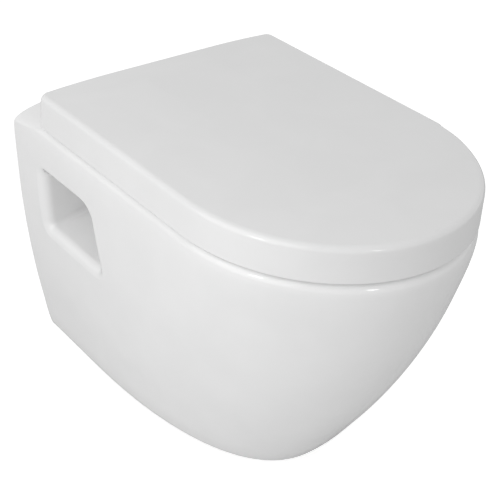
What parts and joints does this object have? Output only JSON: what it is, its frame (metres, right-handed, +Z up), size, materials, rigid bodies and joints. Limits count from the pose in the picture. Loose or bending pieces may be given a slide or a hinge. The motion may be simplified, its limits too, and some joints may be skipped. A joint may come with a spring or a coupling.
{
  "type": "wall hung toilet",
  "caption": "Wall hung toilet in white glazed china with a D-shaped bowl, a side pocket on each side, a ring seat and a wrap-over soft-close lid.",
  "frame": {"origin": "midway between the two wall studs, on the wall face behind the pan", "axes": "+Z up, +Y into the wall, so the pan stands out towards -Y, and +X to the right seen from in front"},
  "size_m": [0.3554, 0.5332, 0.4004],
  "materials": {
    "glazed_china": "gloss",
    "seat_resin": "gloss",
    "buffer_rubber": "matte",
    "polished_steel": "polished",
    "ground_steel": "ground",
    "damper_plastic": "matte",
    "bush_nylon": "satin",
    "sleeve_nylon": "satin",
    "zinc_steel": "zinc plated",
    "nut_plastic": "satin"
  },
  "bodies": {
    "root": {"pan": "glazed_china", "wall_sleeve_left": "sleeve_nylon", "wall_sleeve_right": "sleeve_nylon", "hinge_base_left": "polished_steel", "hinge_base_right": "polished_steel", "hinge_gasket_left": "buffer_rubber", "hinge_gasket_right": "buffer_rubber", "hinge_post_left": "polished_steel", "hinge_post_right": "polished_steel", "hinge_pin_left": "ground_steel", "hinge_pin_right": "ground_steel", "seat_studs": "zinc_steel", "seat_plugs": "buffer_rubber", "seat_washers": "zinc_steel", "seat_nuts": "nut_plastic"},
    "seat": {"seat_ring": "seat_resin", "seat_buffers": "buffer_rubber", "seat_damper": "damper_plastic", "seat_bush": "bush_nylon"},
    "lid": {"lid": "seat_resin", "lid_buffers": "buffer_rubber", "lid_damper": "damper_plastic", "lid_bush": "bush_nylon"}
  },
  "joints": [
    {"name": "seat_lift", "type": "hinge", "parent": "root", "child": "seat", "pos_m": [0, -0.063, 0.118], "axis": [-1, 0, 0], "range_deg": [0, 94]},
    {"name": "lid_lift", "type": "hinge", "parent": "seat", "child": "lid", "pos_m": [0, -0.063, 0.118], "axis": [-1, 0, 0], "range_deg": [0, 94]}
  ]
}
